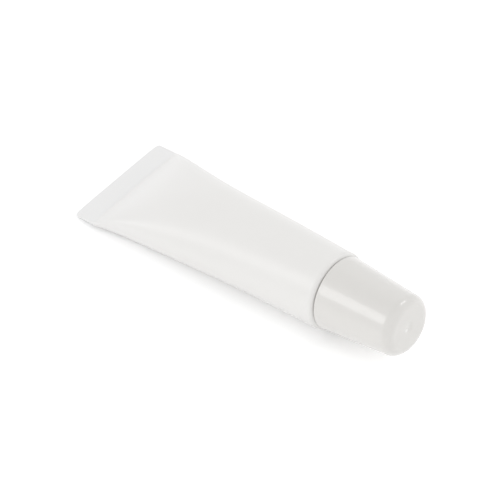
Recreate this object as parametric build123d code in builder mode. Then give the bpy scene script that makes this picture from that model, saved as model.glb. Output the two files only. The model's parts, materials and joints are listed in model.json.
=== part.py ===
"""Squeeze tube for lip balm: flat-sealed sleeve, moulded head, slant applicator tip, screw cap and balm.

Millimetres. The tube lies on the XY plane as it comes to rest: on the end of its seal and on the straight
underside of its belly. +X runs along the tube towards the cap, and +Z is up.
"""

import os
from math import atan, atan2, cos, degrees, pi, sin, sqrt, tan

from build123d import *

# Sleeve
tube_diameter = 19.0
sleeve_wall = 0.5
seal_length = 5.75
seal_thickness = 0.9
belly_length = 58.9
round_length = 1.8

# Curves of the belly, from the seal's inner line (0) to the round end (1)
top_fullness = 4.5
underside_fullness = 1.065
seal_squareness = 8.0
top_squareness_fade = 9.3
underside_squareness_fade = 2.9
belly_station_shares = (0, 0.03, 0.08, 0.15, 0.25, 0.38, 0.52, 0.67, 0.82, 0.93, 1)
cavity_start_share = 0.05
quarter_steps = 7
girth_steps = 48
search_steps = 40

# Head
shoulder_radius = 1.2
shoulder_land = 1.0
shoulder_rise = 0.8
head_wall = 1.1
spigot_length = 2.5
spigot_wall = 0.8
weld_clearance = 0.05
neck_length = 6.8
neck_chamfer = 0.4
neck_wall = 1.3
thread_height = 0.65
thread_clearance = 0.25

# Cap
cap_gap = 0.4
cap_setback = 0.55
cap_length = 20.65
cap_taper = 1.55
cap_wall = 1.1
cap_roof = 1.3
cap_end_fillet = 2.5
cap_base_fillet = 0.25
slot_width = 0.6
collar_wall = 0.85
collar_thread_step = 0.75
collar_clearance = 0.6
rib_count = 8
rib_thickness = 0.7
rib_setback = 6.0
dimple_radius = 1.1
dimple_depth = 0.3

# Applicator tip
plug_clearance = 0.05
plug_length = 4.5
plug_wall = 1.05
flange_thickness = 0.8
tip_clearance = 0.85
tip_taper = 0.3
tip_headroom = 3.4
tip_heel = 0.55
tip_edge_fillet = 0.7
tip_edge_room_share = 0.8
orifice_radius = 1.0
orifice_length = 3.2

# Balm
fill_clearance = 0.15

# Reach of a cut past the face that it opens
overrun = 1.0

tube_radius = tube_diameter / 2
seal_half = seal_thickness / 2
mid_wall = sleeve_wall / 2
shoulder_start = -shoulder_radius
belly_end = shoulder_start - round_length
seal_line = belly_end - belly_length
seal_end = seal_line - seal_length

cap_base = cap_gap
cap_end = cap_base + cap_length
cap_base_radius = tube_radius - cap_setback
cap_end_radius = cap_base_radius - cap_taper
cap_slope = cap_taper / cap_length
roof_under = cap_end - cap_roof


def cap_radius(along):
    """Outer radius of the cap at a distance along the tube, before its edges are rounded."""
    return cap_base_radius - cap_slope * (along - cap_base)


collar_bore = cap_radius(roof_under) - cap_wall - slot_width - collar_wall
thread_bore = collar_bore + collar_thread_step
neck_radius = thread_bore - thread_clearance - thread_height
bore_radius = neck_radius - neck_wall
flange_radius = neck_radius - neck_chamfer
tip_radius = collar_bore - tip_clearance
tip_end = roof_under - tip_headroom


def fullness(share, power):
    """Share of the round end's half height that the belly has reached."""
    return 1 - (1 - share) ** power


def half_height(share, power):
    """Half height of the belly above or below the plane of the seal."""
    return seal_half + (tube_radius - seal_half) * fullness(share, power)


def squareness(share, fade):
    """Exponent of the section's outline: 2 is an ellipse, more is a flatter band with steeper sides."""
    return 2 + (seal_squareness - 2) * (1 - share) ** fade


def quarter_point(angle, width, height, exponent):
    """Point of a quarter superellipse at an angle from its side edge."""
    return width * cos(angle) ** (2 / exponent), height * sin(angle) ** (2 / exponent)


def quarter_angles(steps):
    """Angles that divide a quarter turn, from its start up to its last step."""
    return [pi / 2 * step / steps for step in range(steps)]


def half_girth(width, height, exponent):
    """Length of the outline over one side of the seal's plane, from edge to edge."""
    corners = [quarter_point(angle, width, height, exponent) for angle in quarter_angles(girth_steps)]
    corners.append((0, height))
    runs = zip(corners, corners[1:])
    return 2 * sum(sqrt((x1 - x0) ** 2 + (y1 - y0) ** 2) for (x0, y0), (x1, y1) in runs)


def half_width(share):
    """Half width that keeps the girth of the wall's middle the same all along the sleeve."""
    top = half_height(share, top_fullness) - mid_wall
    bottom = half_height(share, underside_fullness) - mid_wall
    top_exponent = squareness(share, top_squareness_fade)
    bottom_exponent = squareness(share, underside_squareness_fade)
    girth = 2 * half_girth(tube_radius - mid_wall, tube_radius - mid_wall, 2)
    low = 0
    high = girth / 4
    for _ in range(search_steps):
        width = (low + high) / 2
        if half_girth(width, top, top_exponent) + half_girth(width, bottom, bottom_exponent) < girth:
            low = width
        else:
            high = width
    return low + mid_wall


def belly_place(share):
    """Distance along the tube of a share of the belly."""
    return seal_line + share * belly_length


def resting_pitch():
    """Angle of the tube when it lies on its seal's end and on the lowest line of its belly."""
    stations = [share for share in belly_station_shares if share > 0]
    depths = [half_height(share, underside_fullness) - seal_half for share in stations]
    reaches = [belly_place(share) - seal_end for share in stations]
    return max(atan2(depth, reach) for depth, reach in zip(depths, reaches))


# The tube's axis: from the middle of the shoulder's plane, tipped up towards the cap
pitch = resting_pitch()
taper_angle = atan(cap_slope)
edge_centre_radius = cap_end_radius + cap_end_fillet * (cap_slope - 1 / cos(taper_angle))
reach_to_seal = -seal_end * cos(pitch) + seal_half * sin(pitch)
reach_to_cap = (cap_end - cap_end_fillet) * cos(pitch) + edge_centre_radius * sin(pitch) + cap_end_fillet
shoulder_x = (reach_to_seal - reach_to_cap) / 2
shoulder_z = -seal_end * sin(pitch) + seal_half * cos(pitch)

tube_plane = Plane(origin=(shoulder_x, 0, shoulder_z), x_dir=(0, 1, 0), z_dir=(cos(pitch), 0, sin(pitch)))
profile_plane = Plane(origin=tube_plane.origin, x_dir=tube_plane.z_dir, z_dir=(0, -1, 0))
tube_axis = Axis(tube_plane.origin, tube_plane.z_dir)


def sleeve_section(along, share, inset):
    """Face across the sleeve, set in from the outside: a closed curve from the middle of the top."""
    width = half_width(share) - inset
    top = half_height(share, top_fullness) - inset
    bottom = half_height(share, underside_fullness) - inset
    top_exponent = squareness(share, top_squareness_fade)
    bottom_exponent = squareness(share, underside_squareness_fade)
    angles = quarter_angles(quarter_steps)[1:]
    upper = [quarter_point(angle, width, top, top_exponent) for angle in angles]
    lower = [quarter_point(angle, width, bottom, bottom_exponent) for angle in angles]
    points = [(0, top)]
    points += [(-x, y) for x, y in reversed(upper)]
    points += [(-width, 0)]
    points += [(-x, -y) for x, y in lower]
    points += [(0, -bottom)]
    points += [(x, -y) for x, y in reversed(lower)]
    points += [(width, 0)]
    points += upper
    with BuildSketch(tube_plane.offset(along)) as section:
        with BuildLine():
            Spline(*points, periodic=True)
        make_face()
    return section.sketch


# Sleeve: round end, belly and welded seal in one piece
with BuildPart() as sleeve:
    for share in belly_station_shares:
        add(sleeve_section(belly_place(share), share, 0))
    add(sleeve_section(shoulder_start, 1, 0))
    loft()
    extrude(sleeve_section(seal_end, 0, 0), amount=seal_length)
    add(sleeve_section(belly_place(cavity_start_share), cavity_start_share, sleeve_wall))
    for share in belly_station_shares:
        if share > cavity_start_share:
            add(sleeve_section(belly_place(share), share, sleeve_wall))
    add(sleeve_section(shoulder_start + overrun, 1, sleeve_wall))
    loft(mode=Mode.SUBTRACT)
sleeve.part.label = "sleeve"

# Head: rounded shoulder, spigot inside the sleeve and neck in one moulding
spigot_radius = tube_radius - sleeve_wall - weld_clearance
spigot_inside = spigot_radius - spigot_wall
spigot_end = shoulder_start - spigot_length
with BuildPart() as tube_head:
    with BuildSketch(profile_plane):
        with BuildLine():
            outer_edge = (shoulder_start, tube_radius)
            land_edge = (0, tube_radius - shoulder_radius)
            RadiusArc(outer_edge, land_edge, shoulder_radius)
            Polyline(
                land_edge,
                (0, tube_radius - shoulder_radius - shoulder_land),
                (shoulder_rise, neck_radius),
                (neck_length - neck_chamfer, neck_radius),
                (neck_length, neck_radius - neck_chamfer),
                (neck_length, bore_radius),
                (shoulder_rise - head_wall, bore_radius),
                (-head_wall, spigot_inside),
                (spigot_end, spigot_inside),
                (spigot_end, spigot_radius),
                (shoulder_start, spigot_radius),
                outer_edge,
            )
        make_face()
    revolve(axis=tube_axis)
tube_head.part.label = "tube_head"

# Applicator tip: plug in the neck, flange on its rim, slant-cut spreader with the orifice
flange_top = neck_length + flange_thickness
heel_top = flange_top + tip_heel
slant_middle = (heel_top + tip_end) / 2
slant_angle = atan2(tip_end - heel_top, 2 * tip_radius)
slant_pitch = pitch + slant_angle
slant_plane = Plane(
    origin=tube_plane.offset(slant_middle).origin,
    x_dir=(0, 1, 0),
    z_dir=(cos(slant_pitch), 0, sin(slant_pitch)),
)
plug_radius = bore_radius - plug_clearance
point_room = tip_radius * cos(slant_angle) * tan((pi / 2 - slant_angle) / 2)
with BuildPart() as applicator_tip:
    with BuildSketch(profile_plane):
        with BuildLine():
            Polyline(
                (neck_length - plug_length, 0),
                (neck_length - plug_length, plug_radius),
                (neck_length, plug_radius),
                (neck_length, flange_radius),
                (flange_top, flange_radius),
                (flange_top, tip_radius),
                (tip_end + overrun, tip_radius - tip_taper),
                (tip_end + overrun, 0),
                close=True,
            )
        make_face()
    revolve(axis=tube_axis)
    split(bisect_by=slant_plane, keep=Keep.BOTTOM)
    slant_face = applicator_tip.faces().sort_by(Axis(slant_plane.origin, slant_plane.z_dir))[-1]
    fillet(slant_face.edges(), min(tip_edge_fillet, tip_edge_room_share * point_room))
    with BuildSketch(tube_plane):
        Circle(orifice_radius)
    extrude(amount=tip_end + overrun, mode=Mode.SUBTRACT)
    with BuildSketch(tube_plane):
        Circle(plug_radius - plug_wall)
    extrude(amount=slant_middle - orifice_length, mode=Mode.SUBTRACT)
applicator_tip.part.label = "applicator_tip"

# Hollow between the cap's skirt and its collar, with the ribs left standing in it
collar_end = shoulder_rise + collar_clearance
slot_outer_start = cap_radius(cap_base) - cap_wall
slot_outer_end = cap_radius(roof_under) - cap_wall
with BuildPart() as skirt_hollow:
    with BuildSketch(profile_plane):
        with BuildLine():
            Polyline(
                (cap_base - overrun, slot_outer_start + cap_slope * overrun),
                (roof_under, slot_outer_end),
                (roof_under, slot_outer_end - slot_width),
                (collar_end, slot_outer_start - slot_width - cap_slope * (collar_end - cap_base)),
                (collar_end, 0),
                (cap_base - overrun, 0),
                close=True,
            )
        make_face()
    revolve(axis=tube_axis)
    with BuildSketch(tube_plane.offset(cap_base + rib_setback)):
        with PolarLocations(cap_base_radius / 2, rib_count):
            Rectangle(cap_base_radius, rib_thickness)
    extrude(amount=cap_length, mode=Mode.SUBTRACT)

# Cap: tapered skirt, roof and collar in one moulding
bore_step = neck_length + collar_clearance
with BuildPart() as cap:
    with BuildSketch(profile_plane):
        with BuildLine():
            Polyline(
                (cap_base, 0),
                (cap_base, cap_base_radius),
                (cap_end, cap_end_radius),
                (cap_end, 0),
                close=True,
            )
        make_face()
    revolve(axis=tube_axis)
    rims = cap.edges().filter_by(GeomType.CIRCLE).sort_by(tube_axis)
    fillet(rims[-1], cap_end_fillet)
    fillet(rims[0], cap_base_fillet)
    add(skirt_hollow.part, mode=Mode.SUBTRACT)
    with BuildSketch(profile_plane):
        with BuildLine():
            Polyline(
                (cap_base, 0),
                (cap_base, thread_bore),
                (bore_step, thread_bore),
                (bore_step + collar_thread_step, collar_bore),
                (roof_under, collar_bore),
                (roof_under, 0),
                close=True,
            )
        make_face()
    revolve(axis=tube_axis, mode=Mode.SUBTRACT)
    with BuildSketch(profile_plane):
        with BuildLine():
            SagittaArc((cap_end, -dimple_radius), (cap_end, dimple_radius), dimple_depth)
            Line((cap_end, dimple_radius), (cap_end, -dimple_radius))
        make_face()
        split(bisect_by=Plane.XZ, keep=Keep.TOP)
    revolve(axis=tube_axis, mode=Mode.SUBTRACT)
cap.part.label = "cap"

# Balm: what fills the sleeve up to the head's spigot
with BuildPart() as balm_fill:
    for share in belly_station_shares:
        if share > cavity_start_share:
            add(sleeve_section(belly_place(share), share, sleeve_wall + fill_clearance))
    loft()
    split(bisect_by=tube_plane.offset(spigot_end - fill_clearance), keep=Keep.BOTTOM)
balm_fill.part.label = "balm_fill"

os.makedirs("parts", exist_ok=True)
export_step(sleeve.part, "parts/sleeve.step")
export_step(tube_head.part, "parts/tube_head.step")
export_step(applicator_tip.part, "parts/applicator_tip.step")
export_step(cap.part, "parts/cap.step")
export_step(balm_fill.part, "parts/balm_fill.step")

print(f"resting pitch {degrees(pitch):.3f} degrees, shoulder at {shoulder_x:.3f}, {shoulder_z:.3f}")
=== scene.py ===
"""Lip balm tube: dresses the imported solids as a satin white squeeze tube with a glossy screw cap.

Each piece is modelled in the tube's own frame, in millimetres: x along the axis from the shoulder's plane
towards the cap, y across the seal, z up. The finished mesh is then laid in the shared frame, in metres.
"""

import json
import logging
import math
from dataclasses import dataclass, field
from enum import Enum
from functools import lru_cache
from typing import Any, Callable, Optional, Union

import bmesh
import bpy
from mathutils import Matrix, Vector, noise


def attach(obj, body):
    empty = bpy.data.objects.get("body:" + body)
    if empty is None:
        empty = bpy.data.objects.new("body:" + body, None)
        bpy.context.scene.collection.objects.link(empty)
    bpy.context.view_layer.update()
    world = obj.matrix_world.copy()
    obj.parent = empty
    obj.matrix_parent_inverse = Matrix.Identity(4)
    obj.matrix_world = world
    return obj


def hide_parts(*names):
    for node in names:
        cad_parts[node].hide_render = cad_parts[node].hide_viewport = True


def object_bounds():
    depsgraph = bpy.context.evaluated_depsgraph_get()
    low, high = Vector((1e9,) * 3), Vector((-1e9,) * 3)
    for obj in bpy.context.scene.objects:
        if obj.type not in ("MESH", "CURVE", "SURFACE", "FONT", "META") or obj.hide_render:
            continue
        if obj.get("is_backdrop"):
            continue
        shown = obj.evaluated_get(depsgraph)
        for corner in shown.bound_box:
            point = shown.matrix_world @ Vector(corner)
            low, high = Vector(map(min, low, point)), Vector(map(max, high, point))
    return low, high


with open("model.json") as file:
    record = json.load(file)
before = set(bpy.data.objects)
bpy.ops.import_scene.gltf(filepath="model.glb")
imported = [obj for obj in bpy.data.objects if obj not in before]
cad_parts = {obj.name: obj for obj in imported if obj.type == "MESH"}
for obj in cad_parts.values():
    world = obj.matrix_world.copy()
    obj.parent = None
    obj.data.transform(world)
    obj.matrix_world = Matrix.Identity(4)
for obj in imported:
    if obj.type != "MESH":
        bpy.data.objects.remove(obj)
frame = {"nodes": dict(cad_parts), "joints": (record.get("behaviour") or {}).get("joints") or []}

log = logging.getLogger("lip_balm_tube")

Point = tuple[float, float]
Colour = tuple[float, float, float]
Operand = Union["Shade", float]

MILLIMETRE = 0.001
FULL_TURN = 2 * math.pi
QUARTER_TURN = math.pi / 2
WHITE: Colour = (1.0, 1.0, 1.0)

# Middle of the shoulder's plane in the shared frame, in metres.
SHOULDER_PLACE = (0.022738, 0.0, 0.009872)

# Side of the photograph's frame, in pixels.
PICTURE_PIXELS = 500.0

# Distances in millimetres under which two points are one, an edge has no length, and a point is on a wall or
# on a face.
SAME_PLACE = 1e-5
NO_LENGTH = 1e-6
ON_WALL = 1e-3
ON_FACE = 1e-4


class Rides(Enum):
    """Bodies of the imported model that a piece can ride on."""

    TUBE = "tube"
    CAP = "cap"


class Slot(Enum):
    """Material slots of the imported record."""

    SLEEVE = "sleeve_satin"
    HEAD = "head_satin"
    TIP = "tip_soft"
    CAP = "cap_gloss"


def evenly(start: float, stop: float, steps: int) -> list[float]:
    """Places from start towards stop, with stop itself left for the next run.

    Args:
        start: First place.
        stop: End of the run.
        steps: Number of places.

    Returns:
        The places in order.
    """
    return [start + (stop - start) * step / steps for step in range(steps)]


def smooth(value: float) -> float:
    """Eased step from 0 to 1, flat outside that range."""
    held = min(max(value, 0.0), 1.0)
    return held * held * (3 - 2 * held)


def swell(value: float) -> float:
    """Soft bump, 1 high at 0 and nearly flat beyond 1."""
    return math.exp(-value * value * 3)


def arc(centre: Point, radius: float, start: float, stop: float, steps: int) -> list[Point]:
    """Points of a circular stretch of an outline.

    Args:
        centre: Middle of the circle, as distance along the axis and distance from it.
        radius: Radius of the circle.
        start: First angle in radians, from the axis' direction towards the outside.
        stop: Last angle in radians.
        steps: Number of runs.

    Returns:
        The points, both ends among them.
    """
    angles = [start + (stop - start) * step / steps for step in range(steps + 1)]
    return [(centre[0] + radius * math.cos(a), centre[1] + radius * math.sin(a)) for a in angles]


def put_in_scene(name: str, data: bpy.types.ID) -> bpy.types.Object:
    """Makes an object of a mesh, a lamp or a camera and links it into the scene.

    Args:
        name: Name of the object.
        data: Its mesh, lamp or camera.

    Returns:
        The object, at the origin.
    """
    made = bpy.data.objects.new(name, data)
    bpy.context.scene.collection.objects.link(made)
    return made


@dataclass(frozen=True)
class TubeLay:
    """Where the tube lies: its axis, from the middle of the shoulder's plane towards the cap.

    Attributes:
        shoulder: Middle of the shoulder's plane in the shared frame, in metres.
        along: Unit direction of the axis.
    """

    shoulder: Vector
    along: Vector

    @classmethod
    def from_joint(cls, joint: dict[str, Any], shoulder: Vector) -> "TubeLay":
        """Takes the axis' direction from the joint that pulls the cap off.

        Args:
            joint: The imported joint.
            shoulder: Middle of the shoulder's plane.

        Returns:
            The lay of the tube.
        """
        return cls(shoulder, Vector(joint["axis"]).normalized())

    @property
    def pitch(self) -> float:
        """Angle of the axis above the floor, in radians."""
        return math.asin(self.along.z)

    def matrix(self) -> Matrix:
        """Turns millimetres of the tube's own frame into metres of the shared one."""
        turn = Matrix.Rotation(-self.pitch, 4, "Y")
        return Matrix.Translation(self.shoulder) @ turn @ Matrix.Scale(MILLIMETRE, 4)


@dataclass(frozen=True)
class Grain:
    """Size of a noise.

    Attributes:
        along: Cells to the millimetre along the tube.
        across: Cells to the millimetre square to it.
        octaves: Octaves of the noise.
    """

    along: float
    across: float
    octaves: float = 2.0


class Shade:
    """One value of a node tree: a socket with Python's operators, each of which adds a Math node."""

    def __init__(self, graph: "Graph", socket: bpy.types.NodeSocket) -> None:
        """Keeps the socket and the graph that it belongs to."""
        self.graph = graph
        self.socket = socket

    def _with(self, operation: str, first: Operand, second: Operand) -> "Shade":
        """Adds a Math node on two operands."""
        return self.graph.node("ShaderNodeMath", {"operation": operation}, {0: first, 1: second})

    def __add__(self, other: Operand) -> "Shade":
        """Sum."""
        return self._with("ADD", self, other)

    def __radd__(self, other: Operand) -> "Shade":
        """Sum with a number on the left."""
        return self._with("ADD", other, self)

    def __sub__(self, other: Operand) -> "Shade":
        """Difference."""
        return self._with("SUBTRACT", self, other)

    def __rsub__(self, other: Operand) -> "Shade":
        """Difference from a number on the left."""
        return self._with("SUBTRACT", other, self)

    def __mul__(self, other: Operand) -> "Shade":
        """Product."""
        return self._with("MULTIPLY", self, other)

    def __rmul__(self, other: Operand) -> "Shade":
        """Product with a number on the left."""
        return self._with("MULTIPLY", other, self)

    def highest(self, other: Operand) -> "Shade":
        """The larger of two values."""
        return self._with("MAXIMUM", self, other)

    def stray(self, spread: float) -> "Shade":
        """Turns a noise around 0.5 into one around 0 with the given spread."""
        return (self - 0.5) * spread

    def wave(self, length: float) -> "Shade":
        """Sine of the value, with a wave of the given length."""
        turned = self * (FULL_TURN / length)
        return self.graph.node("ShaderNodeMath", {"operation": "SINE"}, {0: turned})

    def ramp(self, start: float, stop: float) -> "Shade":
        """Eased step from 0 at start to 1 at stop.

        Args:
            start: Value that gives 0.
            stop: Value that gives 1.

        Returns:
            The stepped value.
        """
        limits = {"From Min": start, "From Max": stop, "To Min": 0.0, "To Max": 1.0}
        settings = {"interpolation_type": "SMOOTHSTEP", "clamp": True}
        return self.graph.node("ShaderNodeMapRange", settings, {"Value": self, **limits})


class Graph:
    """A node tree that is written as Python expressions."""

    def __init__(self, tree: bpy.types.NodeTree) -> None:
        """Takes over a tree and clears it."""
        self.tree = tree
        self.tree.nodes.clear()

    def node(
        self,
        kind: str,
        settings: Optional[dict[str, Any]] = None,
        sockets: Optional[dict[Union[str, int], Any]] = None,
        out: Union[str, int] = 0,
    ) -> Shade:
        """Adds a node of any kind.

        Args:
            kind: Type of the node.
            settings: Properties of the node, set before its sockets.
            sockets: Values or links of its inputs, by name or number.
            out: Output that is handed on.

        Returns:
            The chosen output; a node without outputs gives its first input.
        """
        made = self.tree.nodes.new(kind)
        for name, value in (settings or {}).items():
            setattr(made, name, value)
        for key, value in (sockets or {}).items():
            if isinstance(value, Shade):
                self.tree.links.new(value.socket, made.inputs[key])
            else:
                made.inputs[key].default_value = value
        return Shade(self, made.outputs[out] if made.outputs else made.inputs[0])

    def tube_place(self, lay: TubeLay) -> Shade:
        """Place on the piece in the tube's own frame, in millimetres.

        Args:
            lay: Where the tube lies.

        Returns:
            The place as a vector.
        """
        place = self.node("ShaderNodeTexCoord", out="Object")
        sockets = {
            "Vector": place,
            "Location": lay.shoulder,
            "Rotation": (0.0, -lay.pitch, 0.0),
            "Scale": (MILLIMETRE,) * 3,
        }
        return self.node("ShaderNodeMapping", {"vector_type": "TEXTURE"}, sockets)

    def part(self, vector: Shade, axis: str) -> Shade:
        """One part of a vector, by the letter of its axis."""
        return self.node("ShaderNodeSeparateXYZ", None, {0: vector}, axis)

    def away(self, place: Shade, point: tuple[float, float, float]) -> Shade:
        """Distance between the place on the piece and a point of the tube's frame, in millimetres."""
        return self.node("ShaderNodeVectorMath", {"operation": "DISTANCE"}, {0: place, 1: point}, "Value")

    def grain(self, place: Shade, size: Grain) -> Shade:
        """Noise around 0.5 on the piece.

        Args:
            place: Place on the piece, in millimetres.
            size: Size of the noise.

        Returns:
            The noise as a value.
        """
        cells = (size.along, size.across, size.across)
        stretched = self.node("ShaderNodeVectorMath", {"operation": "MULTIPLY"}, {0: place, 1: cells})
        sockets = {"Vector": stretched, "Scale": 1.0, "Detail": size.octaves, "Roughness": 0.5}
        return self.node("ShaderNodeTexNoise", {"noise_dimensions": "3D"}, sockets, "Fac")

    def blend(self, first: Any, second: Any, share: Operand) -> Shade:
        """Mixes two colours.

        Args:
            first: Colour at a share of 0.
            second: Colour at a share of 1.
            share: Part of the second colour.

        Returns:
            The mixed colour.
        """
        settings = {"data_type": "RGBA", "blend_type": "MIX"}
        return self.node("ShaderNodeMix", settings, {0: share, 6: first, 7: second}, 2)

    def mottled(self, colour: Colour, tones: Point, share: Shade) -> Shade:
        """A colour that strays between two levels of brightness."""
        return self.blend(opaque(colour, tones[0]), opaque(colour, tones[1]), share)

    def raised(self, height: Shade, depth_mm: float) -> Shade:
        """Normal of a relief.

        Args:
            height: Height of the relief, 1 being its full depth.
            depth_mm: Full depth in millimetres.

        Returns:
            The normal.
        """
        sockets = {"Strength": 1.0, "Distance": depth_mm * MILLIMETRE, "Height": height}
        return self.node("ShaderNodeBump", None, sockets)

    def plastic(self, base: Shade, rough: Shade, normal: Shade, constants: dict[str, Any]) -> None:
        """Closes the tree with a plastic surface.

        Args:
            base: Base colour.
            rough: Roughness.
            normal: Normal.
            constants: Sockets that are the same all over the surface.
        """
        sockets = {"Base Color": base, "Roughness": rough, "Normal": normal, **constants}
        surface = self.node("ShaderNodeBsdfPrincipled", None, sockets)
        self.node("ShaderNodeOutputMaterial", None, {"Surface": surface})


def opaque(colour: Colour, level: float = 1.0) -> tuple[float, float, float, float]:
    """A colour at a level of brightness, with full alpha."""
    return (colour[0] * level, colour[1] * level, colour[2] * level, 1.0)


def seen_rays(graph: Graph) -> Shade:
    """Tells the rays that show a background to the eye, straight on or in gloss and glass.

    Args:
        graph: Graph of the background's material.

    Returns:
        1 on those rays and 0 on the rest.
    """
    names = ("Is Camera Ray", "Is Glossy Ray", "Is Transmission Ray")
    camera, glossy, through = (graph.node("ShaderNodeLightPath", out=name) for name in names)
    return camera.highest(glossy).highest(through)


def new_graph(name: str) -> tuple[bpy.types.Material, Graph]:
    """Makes an empty material with nodes.

    Args:
        name: Name of the material.

    Returns:
        The material and its graph.
    """
    material = bpy.data.materials.new(name)
    material.use_nodes = True
    return material, Graph(material.node_tree)


@dataclass(frozen=True)
class SatinFilm:
    """Extruded soft film of the sleeve: satin, faintly drawn along the tube, with crimp lines in the seal.

    Attributes:
        colour: White of the film with balm behind it.
        seal_colour: White of the film where it is welded to itself, also painted beside the seal as painted
            light.
        tones: Lowest and highest level of the clouded white.
        roughness: Roughness of the film between its variations.
        cloud_roughness: Spread of the roughness with the clouds.
        peel_roughness: Spread of the roughness with the fine peel.
        seal_line: Distance along the tube of the seal's inner line, in millimetres.
        seal_edge: Length over which the look of the seal sets in there, in millimetres.
        painted_light_length: Length from there over which less and less of the seal's white shows as painted
            light, in millimetres.
        painted_light_share: Share of the seal's white painted beside that line as painted light.
        crimp_pitch: Distance between the crimp lines of the seal, in millimetres.
        cloud: Noise of the slow clouds in the film.
        drawn: Noise of the lines drawn along the tube.
        peel: Noise of the fine peel.
        relief_shares: Shares of the peel, the drawn lines and the crimp lines in the relief.
        relief_depth: Depth of the relief, in millimetres.
        refraction: Index of refraction.
    """

    colour: Colour = (0.815, 0.806, 0.79)
    seal_colour: Colour = (0.842, 0.84, 0.838)
    tones: Point = (0.985, 1.015)
    roughness: float = 0.34
    cloud_roughness: float = 0.1
    peel_roughness: float = 0.08
    seal_line: float = -61.9
    seal_edge: float = 0.4
    painted_light_length: float = 26.0
    painted_light_share: float = 0.45
    crimp_pitch: float = 0.8
    cloud: Grain = Grain(0.09, 0.12)
    drawn: Grain = Grain(0.05, 2.6, 3.0)
    peel: Grain = Grain(3.2, 3.2)
    relief_shares: tuple[float, float, float] = (0.55, 0.45, 0.5)
    relief_depth: float = 0.008
    refraction: float = 1.5

    def material(self, lay: TubeLay) -> bpy.types.Material:
        """Makes the film's material.

        Args:
            lay: Where the tube lies.

        Returns:
            The material.
        """
        material, graph = new_graph("satin_film")
        place = graph.tube_place(lay)
        along = graph.part(place, "X")
        cloud, drawn, peel = (graph.grain(place, size) for size in (self.cloud, self.drawn, self.peel))
        pressed = 1.0 - along.ramp(self.seal_line - self.seal_edge, self.seal_line)
        crimp = graph.part(place, "Y").wave(self.crimp_pitch) * pressed
        # Painted light: the film is made lighter towards the seal, where its tilted top catches more light.
        painted_seal_light = 1.0 - along.ramp(self.seal_line, self.seal_line + self.painted_light_length)
        base = graph.mottled(self.colour, self.tones, cloud)
        base = graph.blend(base, opaque(self.seal_colour), (painted_seal_light * self.painted_light_share).highest(pressed))
        rough = self.roughness + cloud.stray(self.cloud_roughness) + peel.stray(self.peel_roughness)
        peel_share, drawn_share, crimp_share = self.relief_shares
        relief = peel * peel_share + drawn * drawn_share + crimp * crimp_share
        graph.plastic(base, rough, graph.raised(relief, self.relief_depth), {"IOR": self.refraction})
        return material


@dataclass(frozen=True)
class GlossMoulding:
    """Hard glossy plastic of the cap: slightly warm, with soft sink waves, a little handling wear and a
    painted highlight on the gate's stub.

    Attributes:
        colour: White of the plastic.
        tones: Lowest and highest level of the white over the sink waves.
        roughness: Roughness of the plastic under its polished skin.
        wear: Roughness that the faint rubbing adds.
        pore_roughness: Spread of the roughness with the fine pores.
        refraction: Index of refraction of the plastic.
        lacquer: Weight of the polished skin.
        lacquer_roughness: Roughness of the polished skin.
        lacquer_refraction: Index of refraction of the polished skin.
        sink: Noise of the sink waves.
        rubbing: Noise of the rubbed places.
        rubbing_limits: Levels of that noise between which the rubbing sets in.
        pores: Noise of the fine pores.
        relief_shares: Shares of the sink waves and of the pores in the relief.
        relief_depth: Depth of the relief, in millimetres.
        gate: Place of the moulding gate on the cap's end, across and upwards, in millimetres.
        gate_end: Distance of the gate along the tube, in millimetres.
        gate_edge: Distances from the gate between which its painted highlight fades, in millimetres.
        gate_highlight_colour: Lighter white painted on the gate's stub as a painted highlight, standing in
            for the glint that it catches.
    """

    colour: Colour = (0.722, 0.708, 0.684)
    tones: Point = (0.985, 1.015)
    roughness: float = 0.3
    wear: float = 0.08
    pore_roughness: float = 0.03
    refraction: float = 1.49
    lacquer: float = 0.55
    lacquer_roughness: float = 0.11
    lacquer_refraction: float = 1.5
    sink: Grain = Grain(0.16, 0.3, 1.0)
    rubbing: Grain = Grain(0.5, 1.4, 4.0)
    rubbing_limits: Point = (0.48, 0.72)
    pores: Grain = Grain(5.0, 5.0)
    relief_shares: Point = (0.9, 0.04)
    relief_depth: float = 0.03
    gate: Point = (-0.8, 0.0)
    gate_end: float = 20.9
    gate_edge: Point = (0.3, 0.62)
    gate_highlight_colour: Colour = (0.92, 0.915, 0.9)

    def material(self, lay: TubeLay) -> bpy.types.Material:
        """Makes the cap's material.

        Args:
            lay: Where the tube lies.

        Returns:
            The material.
        """
        material, graph = new_graph("gloss_moulding")
        place = graph.tube_place(lay)
        sink = graph.grain(place, self.sink)
        rubbed = graph.grain(place, self.rubbing).ramp(*self.rubbing_limits)
        pores = graph.grain(place, self.pores)
        # Painted highlight: a lighter white on the gate's stub stands in for the glint that it catches.
        painted_gate_highlight = 1.0 - graph.away(place, (self.gate_end, *self.gate)).ramp(*self.gate_edge)
        base = graph.blend(graph.mottled(self.colour, self.tones, sink), opaque(self.gate_highlight_colour), painted_gate_highlight)
        rough = self.roughness + rubbed * self.wear + pores.stray(self.pore_roughness)
        sink_share, pore_share = self.relief_shares
        normal = graph.raised(sink * sink_share + pores * pore_share, self.relief_depth)
        constants = {
            "IOR": self.refraction,
            "Coat Weight": self.lacquer,
            "Coat Roughness": self.lacquer_roughness,
            "Coat IOR": self.lacquer_refraction,
        }
        graph.plastic(base, rough, normal, constants)
        return material


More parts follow.
